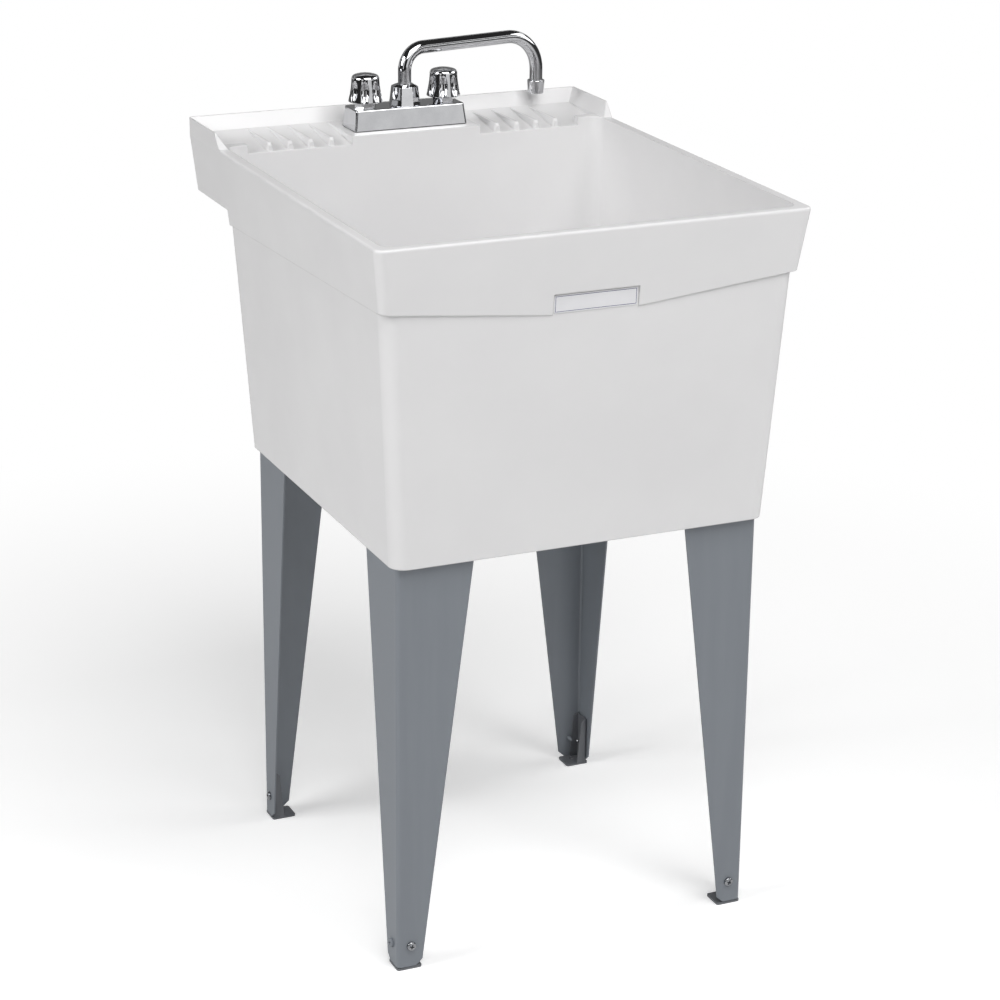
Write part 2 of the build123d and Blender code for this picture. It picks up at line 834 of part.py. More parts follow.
def ring_at(centre, low, height, outer, inner):
    """A plain ring standing on height low."""
    with BuildPart() as ring:
        with BuildSketch(Plane(origin=(centre[0], centre[1], low))):
            Circle(outer / 2)
            Circle(inner / 2, mode=Mode.SUBTRACT)
        extrude(amount=height)
    return ring.part


def nut_at(centre, low, height, width, bore):
    """A hexagon nut standing on height low, with the corners of both faces turned down."""
    corner = width / 2 / cos(radians(30))
    with BuildPart() as nut:
        with BuildSketch(Plane(origin=(centre[0], centre[1], low))):
            RegularPolygon(corner, 6)
        extrude(amount=height)
        for z, radius in (
            (0, corner - nut_bevel),
            (nut_bevel / 2, corner),
            (height - nut_bevel / 2, corner),
            (height, corner - nut_bevel),
        ):
            with BuildSketch(Plane(origin=(centre[0], centre[1], low + z))):
                Circle(radius)
        loft(ruled=True, mode=Mode.INTERSECT)
        with BuildSketch(Plane(origin=(centre[0], centre[1], low))):
            Circle(bore / 2)
        extrude(amount=height, mode=Mode.SUBTRACT)
    return nut.part


drain_axis = (0, drain_y)
with BuildPart() as drain_body:
    with BuildSketch(Plane(origin=(0, drain_y, 0), x_dir=(1, 0, 0), z_dir=(0, -1, 0))):
        with BuildLine():
            Polyline(
                (drain_bore / 2, drain_foot),
                (drain_thread / 2, drain_foot),
                (drain_thread / 2, drain_seat),
                (drain_flange_diameter / 2, drain_seat),
                (drain_flange_diameter / 2, drain_seat + drain_flange_edge),
                (drain_flange_diameter / 2 - drain_flange_bevel, drain_top),
                (drain_mouth / 2, drain_top),
                (drain_bore / 2, drain_top - drain_mouth_depth),
                close=True,
            )
        make_face()
    revolve(axis=Axis((0, drain_y, 0), (0, 0, 1)))
    # Crossbars that stop large waste.
    with BuildSketch(
        Plane(origin=(0, drain_y, drain_top - drain_mouth_depth - 2 * drain_bar_depth))
    ):
        Rectangle(drain_bore + 2 * weld, drain_bar)
        Rectangle(drain_bar, drain_bore + 2 * weld)
    extrude(amount=drain_bar_depth)
drain_body.part.label = "drain_body"

drain_gasket = ring_at(
    drain_axis, gasket_low, drain_gasket_thickness, drain_washer_width, nut_bore
)
drain_gasket.label = "drain_gasket"
drain_friction_ring = ring_at(
    drain_axis, friction_low, friction_ring_thickness, drain_washer_width, nut_bore
)
drain_friction_ring.label = "drain_friction_ring"
drain_locknut = nut_at(drain_axis, drain_nut_low, drain_nut_height, drain_nut_width, nut_bore)
drain_locknut.label = "drain_locknut"
tailpiece_washer = ring_at(
    drain_axis,
    tail_washer_low,
    tailpiece_washer_thickness,
    drain_thread,
    tailpiece_diameter - 2 * tailpiece_wall,
)
tailpiece_washer.label = "tailpiece_washer"
with BuildPart() as slip_nut:
    slip_nut_bore = tailpiece_neck + 2 * slip_nut_gap
    add(nut_at(drain_axis, slip_nut_low, slip_nut_height, slip_nut_width, slip_nut_bore))
    with Locations((0, drain_y, slip_nut_low + slip_nut_lip)):
        Cylinder(
            nut_bore / 2,
            slip_nut_height,
            align=(Align.CENTER, Align.CENTER, Align.MIN),
            mode=Mode.SUBTRACT,
        )
slip_nut.part.label = "slip_nut"
with BuildPart() as tailpiece:
    with BuildSketch(Plane(origin=(0, drain_y, 0), x_dir=(1, 0, 0), z_dir=(0, -1, 0))):
        with BuildLine():
            Polyline(
                (tailpiece_diameter / 2 - tailpiece_wall, tailpiece_foot),
                (tailpiece_diameter / 2, tailpiece_foot),
                (tailpiece_diameter / 2, tail_flange_low - tailpiece_neck_length),
                (tailpiece_neck / 2, tail_flange_low - tailpiece_neck_length),
                (tailpiece_neck / 2, tail_flange_low),
                (tailpiece_flange / 2, tail_flange_low),
                (tailpiece_flange / 2, tail_washer_low),
                (tailpiece_diameter / 2 - tailpiece_wall, tail_washer_low),
                close=True,
            )
        make_face()
    revolve(axis=Axis((0, drain_y, 0), (0, 0, 1)))
tailpiece.part.label = "tailpiece"

# Rubber stopper resting on the drain flange, with a wire ring to lift it by.
stopper_low = drain_top + stopper_gap
plug_top = drain_mouth / 2 - 2 * stopper_gap
plug_taper = (drain_mouth - drain_bore) / 2 / drain_mouth_depth
plug_foot = plug_top - plug_taper * stopper_plug_height
with BuildPart() as stopper:
    with BuildSketch(Plane(origin=(0, drain_y, 0), x_dir=(1, 0, 0), z_dir=(0, -1, 0))):
        with BuildLine():
            Polyline(
                (0, stopper_low - stopper_plug_height),
                (plug_foot, stopper_low - stopper_plug_height),
                (plug_top, stopper_low),
                (stopper_cap / 2, stopper_low),
                (stopper_cap / 2 - stopper_cap_bevel, stopper_low + stopper_cap_height),
                (0, stopper_low + stopper_cap_height),
                close=True,
            )
        make_face()
    revolve(axis=Axis((0, drain_y, 0), (0, 0, 1)))
    # Upright lug with the hole for the ring.
    cap_top = stopper_low + stopper_cap_height
    lug_hole_z = cap_top + stopper_lug_height
    with BuildSketch(Plane(origin=(0, drain_y, 0), x_dir=(1, 0, 0), z_dir=(0, -1, 0))):
        with Locations((0, cap_top - weld)):
            Rectangle(
                2 * stopper_lug_radius,
                stopper_lug_height + weld,
                align=(Align.CENTER, Align.MIN),
            )
        with Locations((0, lug_hole_z)):
            Circle(stopper_lug_radius)
            Circle(stopper_wire / 2 + stopper_wire_gap, mode=Mode.SUBTRACT)
    extrude(amount=stopper_lug_thickness / 2, both=True)
stopper.part.label = "stopper"

# The ring lies tipped over, its far side resting just above the cap of the stopper.
ring_drop = stopper_lug_height - stopper_wire / 2 - stopper_gap
ring_tilt = degrees(asin(ring_drop / stopper_ring_diameter))
with BuildPart() as stopper_ring:
    ring_axis_plane = Plane(
        origin=(
            stopper_ring_diameter / 2 * cos(radians(ring_tilt)),
            drain_y,
            lug_hole_z - stopper_ring_diameter / 2 * sin(radians(ring_tilt)),
        ),
        x_dir=(cos(radians(ring_tilt)), 0, -sin(radians(ring_tilt))),
        z_dir=(sin(radians(ring_tilt)), 0, cos(radians(ring_tilt))),
    )
    with BuildSketch(
        Plane(origin=ring_axis_plane.origin, x_dir=ring_axis_plane.x_dir, z_dir=(0, -1, 0))
    ):
        with Locations((stopper_ring_diameter / 2, 0)):
            Circle(stopper_wire / 2)
    revolve(axis=Axis(ring_axis_plane.origin, ring_axis_plane.z_dir))
stopper_ring.part.label = "stopper_ring"

# ---------------------------------------------------------------- faucet, fixed pieces
cover_low = deck_height + base_gasket_thickness
cover_top = cover_low + cover_height


def cover_block(low, high, shrink):
    """Tapered block of the cover, shrunk all round by shrink."""
    with BuildPart() as block:
        for z in (low, high):
            taper = cover_taper * (z - cover_low) / cover_height
            with BuildSketch(Plane(origin=(0, faucet_y, z))):
                RectangleRounded(
                    cover_length - 2 * (taper + shrink),
                    cover_width - 2 * (taper + shrink),
                    cover_corner_radius,
                )
        loft()
    return block.part


bonnet_bore = valve_bore + 2 * thread_gap
tower_top = cover_top - cover_wall - cover_gap
post_top = cover_top + spout_post_rise
with BuildPart() as faucet_cover:
    add(cover_block(cover_low, cover_top, 0))
    fillet(faucet_cover.faces().sort_by(Axis.Z)[-1].edges(), cover_edge_radius)
    add(cover_block(cover_low, cover_top - cover_wall, cover_wall), mode=Mode.SUBTRACT)
    with Locations((-handle_x, faucet_y, cover_top), (handle_x, faucet_y, cover_top)):
        Cylinder(valve_bore / 2 + cover_hole_gap, 3 * cover_wall, mode=Mode.SUBTRACT)
    with Locations((0, faucet_y, cover_top)):
        Cylinder(spout_post / 2 + thread_gap, 3 * cover_wall, mode=Mode.SUBTRACT)
faucet_cover.part.label = "faucet_cover"

with BuildPart() as base_gasket:
    with BuildSketch(Plane(origin=(0, faucet_y, deck_height))):
        RectangleRounded(
            cover_length - 2 * base_gasket_inset,
            cover_width - 2 * base_gasket_inset,
            cover_corner_radius,
        )
        with Locations((-handle_x, 0), (handle_x, 0)):
            Circle(shank_flange / 2 + cover_gap, mode=Mode.SUBTRACT)
    extrude(amount=base_gasket_thickness)
base_gasket.part.label = "base_gasket"

waterway_z = deck_height + shank_flange_thickness + waterway_diameter / 2 - weld
valve_floor = waterway_z - waterway_bore / 2
tube_bore = spout_diameter + 2 * spout_fit_gap
spout_foot = post_top - spout_insert
shank_low = deck_height - shank_length
flange_top = deck_height + shank_flange_thickness
# The waterway ends inside the valves, and a run-out groove parts each shank's two threads.
waterway_half_length = handle_x - valve_bore / 4
groove_low = shank_low + shank_supply_thread
groove_top = groove_low + shank_groove_width
groove_radius = shank_thread / 2 - shank_groove_depth
tower_outline = (
    (0, shank_low),
    (shank_thread / 2, shank_low),
    (shank_thread / 2, groove_low),
    (groove_radius, groove_low),
    (groove_radius, groove_top),
    (shank_thread / 2, groove_top),
    (shank_thread / 2, deck_height),
    (shank_flange / 2, deck_height),
    (shank_flange / 2, flange_top),
    (valve_tower / 2, flange_top),
    (valve_tower / 2, tower_top),
    (0, tower_top),
)
tower_bore_outline = (
    (0, shank_low),
    (shank_bore / 2, shank_low),
    (shank_bore / 2, valve_floor),
    (bonnet_bore / 2, valve_floor),
    (bonnet_bore / 2, tower_top),
    (0, tower_top),
)
post_low = waterway_z - waterway_diameter / 2 - weld
with BuildPart() as faucet_body:
    # Waterway between the two valves, ending inside their towers.
    with BuildSketch(Plane.YZ):
        with Locations((faucet_y, waterway_z)):
            Circle(waterway_diameter / 2)
    extrude(amount=waterway_half_length, both=True)
    with BuildSketch(Plane(origin=(0, faucet_y, post_low))):
        Circle(spout_post / 2)
    extrude(amount=post_top - post_low)
    # Shank, flange and tower of each valve.
    for x in (-handle_x, handle_x):
        with BuildSketch(Plane(origin=(x, faucet_y, 0), x_dir=(1, 0, 0), z_dir=(0, -1, 0))):
            with BuildLine():
                Polyline(*tower_outline, close=True)
            make_face()
        revolve(axis=Axis((x, faucet_y, 0), (0, 0, 1)))
    # Water passages.
    with BuildSketch(Plane.YZ):
        with Locations((faucet_y, waterway_z)):
            Circle(waterway_bore / 2)
    extrude(amount=waterway_half_length, both=True, mode=Mode.SUBTRACT)
    for x in (-handle_x, handle_x):
        with BuildSketch(Plane(origin=(x, faucet_y, 0), x_dir=(1, 0, 0), z_dir=(0, -1, 0))):
            with BuildLine():
                Polyline(*tower_bore_outline, close=True)
            make_face()
        revolve(axis=Axis((x, faucet_y, 0), (0, 0, 1)), mode=Mode.SUBTRACT)
    with BuildSketch(Plane(origin=(0, faucet_y, waterway_z))):
        Circle(tube_bore / 2)
    extrude(amount=post_top - waterway_z, mode=Mode.SUBTRACT)
faucet_body.part.label = "faucet_body"

shank_washers = Compound(
    label="shank_washers",
    children=[
        ring_at(
            (x, faucet_y),
            deck_height - deck_thickness - shank_washer_thickness,
            shank_washer_thickness,
            shank_washer,
            shank_thread + 2 * thread_gap,
        )
        for x in (-handle_x, handle_x)
    ],
)
shank_nuts = Compound(
    label="shank_nuts",
    children=[
        nut_at(
            (x, faucet_y),
            deck_height - deck_thickness - shank_washer_thickness - shank_nut_height,
            shank_nut_height,
            shank_nut_width,
            shank_thread + 2 * thread_gap,
        )
        for x in (-handle_x, handle_x)
    ],
)

# ---------------------------------------------------------------- valves and knobs
bonnet_low = cover_top
bonnet_top = bonnet_low + bonnet_height
barrel_low = bonnet_low - bonnet_barrel
plug_low = valve_floor + seat_height + stem_gap
plug_high = barrel_low - stem_gap
seal_low = barrel_low + stem_seal_gap
seal_diameter = stem_diameter + 2 * stem_seal_section
knob_low = bonnet_top + knob_gap
knob_top = knob_low + knob_height
shoulder_z = knob_low + knob_shoulder_height
hub_low = knob_low + knob_hub_inset
stem_top = hub_low + stem_in_knob
cap_low = knob_low + cap_seat_height
screw_seat = stem_top + knob_web
crown_radius = (knob_crown**2 + knob_crown_drop**2) / (2 * knob_crown_drop)


def crown_height(radius):
    """Height of the knob's domed crown at a distance from the knob's axis."""
    return knob_top - crown_radius + sqrt(crown_radius**2 - radius**2)


def knob_blank(x):
    """Turned blank of a knob: tapered skirt, rounded shoulder and a low crown."""
    with BuildPart() as blank:
        with BuildSketch(Plane(origin=(x, faucet_y, 0), x_dir=(1, 0, 0), z_dir=(0, -1, 0))):
            with BuildLine():
                foot = (knob_foot_diameter / 2, knob_low)
                shoulder = (knob_shoulder_diameter / 2, shoulder_z)
                crown = (knob_crown, knob_top - knob_crown_drop)
                Line((0, knob_low), foot)
                Line(foot, shoulder)
                ThreePointArc(
                    shoulder,
                    (
                        (shoulder[0] + crown[0]) / 2 + knob_shoulder_bulge / 2,
                        (shoulder[1] + crown[1]) / 2 + knob_shoulder_bulge / 2,
                    ),
                    crown,
                )
                ThreePointArc(crown, (crown[0] / 2, crown_height(crown[0] / 2)), (0, knob_top))
                Line((0, knob_top), (0, knob_low))
            make_face()
        revolve(axis=Axis((x, faucet_y, 0), (0, 0, 1)))
    return blank.part


def make_valve(x, name):
    """The pieces of one valve: seat, stem, its seal, bonnet, knob, knob screw and cap."""
    made = {}
    to_middle = -1 if x > 0 else 1
    # Seat with its port on the side of the spout.
    with BuildPart() as seat:
        with BuildSketch(Plane(origin=(x, faucet_y, valve_floor))):
            Circle(valve_bore / 2)
            with Locations((to_middle * seat_port_offset, 0)):
                SlotOverall(seat_port_length, seat_port_width, rotation=90, mode=Mode.SUBTRACT)
        extrude(amount=seat_height)
    made["seat"] = seat.part
    # Bonnet: hexagon on the cover, barrel below it, groove for the seal at the barrel's end.
    stem_bore = stem_diameter + 2 * stem_gap
    with BuildPart() as bonnet:
        add(nut_at((x, faucet_y), bonnet_low, bonnet_height, bonnet_width, stem_bore))
        with BuildSketch(Plane(origin=(x, faucet_y, barrel_low))):
            Circle(valve_bore / 2)
            Circle(stem_bore / 2, mode=Mode.SUBTRACT)
        extrude(amount=bonnet_barrel)
        with BuildSketch(Plane(origin=(x, faucet_y, barrel_low))):
            Circle(seal_diameter / 2 + stem_seal_gap)
        extrude(amount=stem_seal_section + 2 * stem_seal_gap, mode=Mode.SUBTRACT)
    made["bonnet"] = bonnet.part
    # Stem: plug with a notch that meets the port, flat-sided top that drives the knob.
    with BuildPart() as stem:
        with BuildSketch(Plane(origin=(x, faucet_y, plug_low))):
            Circle(valve_bore / 2 - stem_gap)
        extrude(amount=plug_high - plug_low)
        with BuildSketch(Plane(origin=(x, faucet_y, plug_low))):
            Circle(stem_diameter / 2)
        extrude(amount=stem_top - plug_low)
        with BuildSketch(Plane(origin=(x, faucet_y, plug_low))):
            with Locations((0, -stem_notch_inner)):
                Rectangle(stem_notch_width, valve_bore, align=(Align.CENTER, Align.MAX))
        extrude(amount=stem_notch_height, mode=Mode.SUBTRACT)
        with BuildSketch(Plane(origin=(x, faucet_y, stem_top))):
            Circle(knob_screw_shank / 2)
        extrude(amount=-knob_screw_length, mode=Mode.SUBTRACT)
        with BuildSketch(Plane(origin=(x, faucet_y, hub_low))):
            Circle(stem_diameter)
            Rectangle(stem_diameter, stem_flats, mode=Mode.SUBTRACT)
        extrude(amount=stem_in_knob, mode=Mode.SUBTRACT)
    made["stem"] = stem.part
    made["stem_seal"] = ring_at(
        (x, faucet_y),
        seal_low,
        stem_seal_section,
        seal_diameter,
        stem_diameter + 2 * stem_running_gap,
    )
    with BuildPart() as knob:
        add(knob_blank(x))
        # Concave flutes that run out at the shoulder.
        for number in range(knob_flutes):
            turn = radians(360 / knob_flutes * (number + 0.5))
            for z, reach in (
                (knob_low - weld, knob_foot_diameter / 2 - knob_flute_depth),
                (shoulder_z + knob_flute_runout, knob_shoulder_diameter / 2),
            ):
                away = reach + knob_flute_radius
                flute_x = x + away * cos(turn)
                flute_y = faucet_y + away * sin(turn)
                with BuildSketch(Plane(origin=(flute_x, flute_y, z))):
                    Circle(knob_flute_radius)
            loft(mode=Mode.SUBTRACT)
        # Hollow under the skirt, and the hub that stands in it.
        with BuildSketch(Plane(origin=(x, faucet_y, knob_low))):
            Circle(knob_foot_diameter / 2 - knob_wall)
        with BuildSketch(Plane(origin=(x, faucet_y, knob_low + knob_hollow_height))):
            Circle(knob_shoulder_diameter / 2 - knob_wall)
        loft(mode=Mode.SUBTRACT)
        with BuildSketch(Plane(origin=(x, faucet_y, hub_low))):
            Circle(knob_hub / 2)
        extrude(amount=knob_hollow_height)
        # Drive socket, screw hole, well for the screw's head and seat for the cap.
        with BuildSketch(Plane(origin=(x, faucet_y, hub_low))):
            Circle(stem_diameter / 2 + stem_flats_gap)
            Rectangle(
                2 * stem_diameter,
                stem_flats + 2 * stem_flats_gap,
                mode=Mode.INTERSECT,
            )
        extrude(amount=stem_in_knob + stem_flats_gap, mode=Mode.SUBTRACT)
        for low, radius in (
            (stem_top, knob_screw_shank / 2 + knob_screw_gap),
            (screw_seat, knob_screw_head / 2 + knob_screw_gap),
            (cap_low, cap_diameter / 2 + cap_gap),
        ):
            with BuildSketch(Plane(origin=(x, faucet_y, low))):
                Circle(radius)
            extrude(amount=knob_height, mode=Mode.SUBTRACT)
    made["knob"] = knob.part
    with BuildPart() as knob_screw:
        with BuildSketch(Plane(origin=(x, faucet_y, screw_seat))):
            Circle(knob_screw_head / 2)
        extrude(amount=knob_screw_head_height)
        fillet(knob_screw.faces().sort_by(Axis.Z)[-1].edges(), knob_screw_crown)
        with BuildSketch(Plane(origin=(x, faucet_y, screw_seat))):
            Circle(knob_screw_shank / 2)
        extrude(amount=-knob_screw_length)
    made["knob_screw"] = knob_screw.part
    # Cap that carries on the crown of the knob.
    with BuildPart() as cap:
        with BuildSketch(Plane(origin=(x, faucet_y, 0), x_dir=(1, 0, 0), z_dir=(0, -1, 0))):
            with BuildLine():
                rim = (cap_diameter / 2, crown_height(cap_diameter / 2))
                Polyline((0, knob_top), (0, cap_low), (cap_diameter / 2, cap_low), rim)
                ThreePointArc(rim, (rim[0] / 2, crown_height(rim[0] / 2)), (0, knob_top))
            make_face()
        revolve(axis=Axis((x, faucet_y, 0), (0, 0, 1)))
    made["cap"] = cap.part
    for piece, solid in made.items():
        solid.label = name + "_" + piece
    return made


valves = {"hot": make_valve(-handle_x, "hot"), "cold": make_valve(handle_x, "cold")}

# ---------------------------------------------------------------- spout
spout_way = (sin(radians(spout_turn)), -cos(radians(spout_turn)))
spout_plane = Plane(
    origin=(0, faucet_y, 0),
    x_dir=(spout_way[0], spout_way[1], 0),
    z_dir=(spout_way[1], -spout_way[0], 0),
)
with BuildPart() as spout:
    with BuildLine(spout_plane) as spout_path:
        FilletPolyline(
            (0, spout_foot),
            (0, spout_axis_height),
            (spout_reach, spout_axis_height),
            (spout_reach, spout_outlet_height),
            radius=[spout_near_radius, spout_far_radius],
        )
    with BuildSketch(Plane(origin=(0, faucet_y, spout_foot))):
        Circle(spout_diameter / 2)
        Circle(spout_diameter / 2 - spout_wall, mode=Mode.SUBTRACT)
    sweep(path=spout_path.line)
    # Collar that the nut holds down.
    with BuildSketch(Plane(origin=(0, faucet_y, post_top + spout_fit_gap))):
        Circle(spout_collar / 2)
        Circle(spout_diameter / 2 - spout_wall / 2, mode=Mode.SUBTRACT)
    extrude(amount=spout_collar_height)
    # Groove for the seal.
    with BuildSketch(Plane(origin=(0, faucet_y, spout_foot + spout_seal_height))):
        Circle(spout_diameter / 2 + overshoot)
        Circle(spout_diameter / 2 - spout_wall / 2, mode=Mode.SUBTRACT)
    extrude(amount=spout_seal_section, mode=Mode.SUBTRACT)
spout.part.label = "spout"
spout_seal = ring_at(
    (0, faucet_y),
    spout_foot + spout_seal_height,
    spout_seal_section,
    tube_bore - 2 * spout_seal_gap,
    spout_diameter - spout_wall,
)
spout_seal.label = "spout_seal"

collar_top = post_top + spout_fit_gap + spout_collar_height
nut_low = cover_top
nut_shoulder = nut_low + spout_nut_height - spout_nut_cone
with BuildPart() as spout_nut:
    for z, across in (
        (nut_low, spout_nut_foot),
        (nut_shoulder, spout_nut_top),
        (nut_low + spout_nut_height, spout_diameter + 2 * spout_nut_lip),
    ):
        with BuildSketch(Plane(origin=(0, faucet_y, z))):
            RegularPolygon(across / 2, spout_nut_sides, rotation=spout_nut_turn)
    loft(ruled=True)
    # Threaded part over the post, room for the collar, opening for the tube.
    for low, high, diameter in (
        (nut_low, post_top, spout_post + 2 * thread_gap),
        (post_top, collar_top + spout_fit_gap, spout_collar + 2 * spout_nut_gap),
        (collar_top, nut_low + spout_nut_height, spout_diameter + 2 * spout_nut_gap),
    ):
        with BuildSketch(Plane(origin=(0, faucet_y, low))):
            Circle(diameter / 2)
        extrude(amount=high - low, mode=Mode.SUBTRACT)
spout_nut.part.label = "spout_nut"

# ---------------------------------------------------------------- aerator
outlet = (spout_reach * spout_way[0], faucet_y + spout_reach * spout_way[1])
aerator_top = spout_outlet_height + aerator_grip
aerator_foot = aerator_top - aerator_height
aerator_inner = spout_diameter + 2 * thread_gap
washer_low = spout_outlet_height - aerator_washer_thickness
screen_low = washer_low - aerator_screen_thickness
with BuildPart() as aerator_housing:
    with BuildSketch(Plane(origin=(outlet[0], outlet[1], aerator_foot))):
        Circle(aerator_foot_diameter / 2)
    with BuildSketch(Plane(origin=(outlet[0], outlet[1], aerator_top))):
        Circle(aerator_top_diameter / 2)
    loft()
    fillet(aerator_housing.faces().sort_by(Axis.Z)[-1].edges(), aerator_edge_radius)
    with BuildSketch(Plane(origin=(outlet[0], outlet[1], screen_low))):
        Circle(aerator_inner / 2)
    extrude(amount=aerator_height, mode=Mode.SUBTRACT)
    with BuildSketch(Plane(origin=(outlet[0], outlet[1], aerator_foot))):
        Circle(aerator_mouth / 2)
    extrude(amount=aerator_height, mode=Mode.SUBTRACT)
aerator_housing.part.label = "aerator_housing"
aerator_washer = ring_at(
    outlet, washer_low, aerator_washer_thickness, spout_diameter, aerator_washer_bore
)
aerator_washer.label = "aerator_washer"
with BuildPart() as aerator_screen:
    with BuildSketch(Plane(origin=(outlet[0], outlet[1], screen_low))):
        Circle(spout_diameter / 2)
        Circle(aerator_centre_jet / 2, mode=Mode.SUBTRACT)
        with PolarLocations(aerator_jet_circle / 2, aerator_jets):
            Circle(aerator_jet / 2, mode=Mode.SUBTRACT)
    extrude(amount=aerator_screen_thickness)
aerator_screen.part.label = "aerator_screen"

# ---------------------------------------------------------------- write the pieces
pieces = [
    tub.part,
    front_plate.part,
    *legs.values(),
    *feet.values(),
    foot_screws,
    drain_body.part,
    drain_gasket,
    drain_friction_ring,
    drain_locknut,
    tailpiece_washer,
    slip_nut.part,
    tailpiece.part,
    stopper.part,
    stopper_ring.part,
    faucet_cover.part,
    base_gasket.part,
    faucet_body.part,
    shank_washers,
    shank_nuts,
    *valves["hot"].values(),
    *valves["cold"].values(),
    spout.part,
    spout_seal,
    spout_nut.part,
    aerator_housing.part,
    aerator_washer,
    aerator_screen.part,
]
os.makedirs("parts", exist_ok=True)
for piece in pieces:
    export_step(piece, "parts/" + piece.label + ".step")
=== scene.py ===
from math import atan, cos, pi, radians, sin

import bmesh
import bpy
from mathutils import Matrix, Vector


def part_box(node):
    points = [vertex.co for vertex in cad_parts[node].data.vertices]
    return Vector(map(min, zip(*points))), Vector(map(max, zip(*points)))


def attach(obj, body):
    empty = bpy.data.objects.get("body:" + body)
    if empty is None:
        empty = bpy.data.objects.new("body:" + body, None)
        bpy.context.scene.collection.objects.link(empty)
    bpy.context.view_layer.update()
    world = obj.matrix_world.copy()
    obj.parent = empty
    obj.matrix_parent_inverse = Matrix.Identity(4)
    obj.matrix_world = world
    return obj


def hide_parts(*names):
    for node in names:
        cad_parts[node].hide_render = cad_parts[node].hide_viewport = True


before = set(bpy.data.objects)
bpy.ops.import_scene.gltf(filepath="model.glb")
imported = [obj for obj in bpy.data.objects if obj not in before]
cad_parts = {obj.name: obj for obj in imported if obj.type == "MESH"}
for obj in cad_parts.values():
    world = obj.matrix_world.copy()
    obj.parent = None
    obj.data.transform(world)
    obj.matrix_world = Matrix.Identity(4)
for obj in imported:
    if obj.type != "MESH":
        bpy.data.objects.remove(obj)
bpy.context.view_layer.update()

# ---------------------------------------------------------------- the set
# The camera stands to the left in front of the sink, a little above the rim, and looks down
# at it. Its place comes from the photograph, where the tub's corners and the legs fix it.
camera_place = Vector((-1.27176, -2.89182, 1.57871))
camera_yaw = radians(24.11)
camera_pitch = radians(19.73)
camera_roll = radians(0.62)
picture_size = 1000
focal_length = 2829.35

forward = Vector((
    sin(camera_yaw) * cos(camera_pitch), cos(camera_yaw) * cos(camera_pitch), -sin(camera_pitch)
))
level_right = Vector((cos(camera_yaw), -sin(camera_yaw), 0.0))
level_up = level_right.cross(forward)
right = level_right * cos(camera_roll) + level_up * sin(camera_roll)
up = level_up * cos(camera_roll) - level_right * sin(camera_roll)

bpy.ops.object.camera_add()
camera = bpy.context.object
camera.name = "camera"
camera.matrix_world = (
    Matrix.Translation(camera_place) @ Matrix((right, up, -forward)).transposed().to_4x4()
)
camera.data.sensor_fit = "HORIZONTAL"
camera.data.angle = 2 * atan(picture_size / 2 / focal_length)
bpy.context.scene.camera = camera
bpy.context.scene.view_settings.view_transform = "Standard"


def new_material(name):
    """An empty node material, with its tree, its shader and its object coordinates."""
    material = bpy.data.materials.new(name)
    material.use_nodes = True
    tree = material.node_tree
    shader = tree.nodes["Principled BSDF"]
    place = tree.nodes.new("ShaderNodeTexCoord").outputs["Object"]
    return material, tree, shader, place


def calculate(tree, operation, *values):
    """One step of arithmetic on numbers and on what other nodes give."""
    node = tree.nodes.new("ShaderNodeMath")
    node.operation = operation
    for socket, value in zip(node.inputs, values):
        if isinstance(value, bpy.types.NodeSocket):
            tree.links.new(value, socket)
        else:
            socket.default_value = value
    return node.outputs["Value"]


def show_mixed(tree, output, share, first, second):
    """Sends to the output the first shader where the share is 0, the second where it is 1."""
    mix = tree.nodes.new("ShaderNodeMixShader")
    for socket, source in zip(mix.inputs, (share, first, second)):
        tree.links.new(source, socket)
    tree.links.new(mix.outputs["Shader"], tree.nodes[output].inputs["Surface"])


# A wide white sheet is the floor. For the camera it is lifted to plain white where nothing
# shades it, so that only the soft shadow of the sink stays, and it fades out away from there.
floor_half = 14.0
floor_shade = (0.93, 0.93, 0.93, 1.0)
floor_roughness = 0.9
floor_lift = 0.29
shadow_reach = (0.45, 1.6)

bpy.ops.mesh.primitive_plane_add(size=2 * floor_half)
floor = bpy.context.object
floor.name = "floor_sheet"
material, tree, shader, place = new_material("floor_sheet")
shader.inputs["Base Color"].default_value = floor_shade
shader.inputs["Roughness"].default_value = floor_roughness
by_camera = tree.nodes.new("ShaderNodeLightPath").outputs["Is Camera Ray"]
lift = tree.nodes.new("ShaderNodeEmission")
tree.links.new(calculate(tree, "MULTIPLY", by_camera, floor_lift), lift.inputs["Strength"])
lit = tree.nodes.new("ShaderNodeAddShader")
tree.links.new(shader.outputs["BSDF"], lit.inputs[0])
tree.links.new(lift.outputs["Emission"], lit.inputs[1])
from_sink = tree.nodes.new("ShaderNodeVectorMath")
from_sink.operation = "LENGTH"
tree.links.new(place, from_sink.inputs[0])
fade = tree.nodes.new("ShaderNodeMapRange")
fade.interpolation_type = "SMOOTHSTEP"
fade.inputs["From Min"].default_value, fade.inputs["From Max"].default_value = shadow_reach
tree.links.new(from_sink.outputs["Value"], fade.inputs["Value"])
plain_white = tree.nodes.new("ShaderNodeEmission")
show_mixed(
    tree, "Material Output", calculate(tree, "MULTIPLY", by_camera, fade.outputs["Result"]),
    lit.outputs["Shader"], plain_white.outputs["Emission"],
)
floor.data.materials.append(material)

# The room: a soft grey light from all round, and plain white where the camera, the chrome
# and anything clear see past the floor.
room_shade = (1.0, 0.995, 1.0, 1.0)
room_strength = 0.05

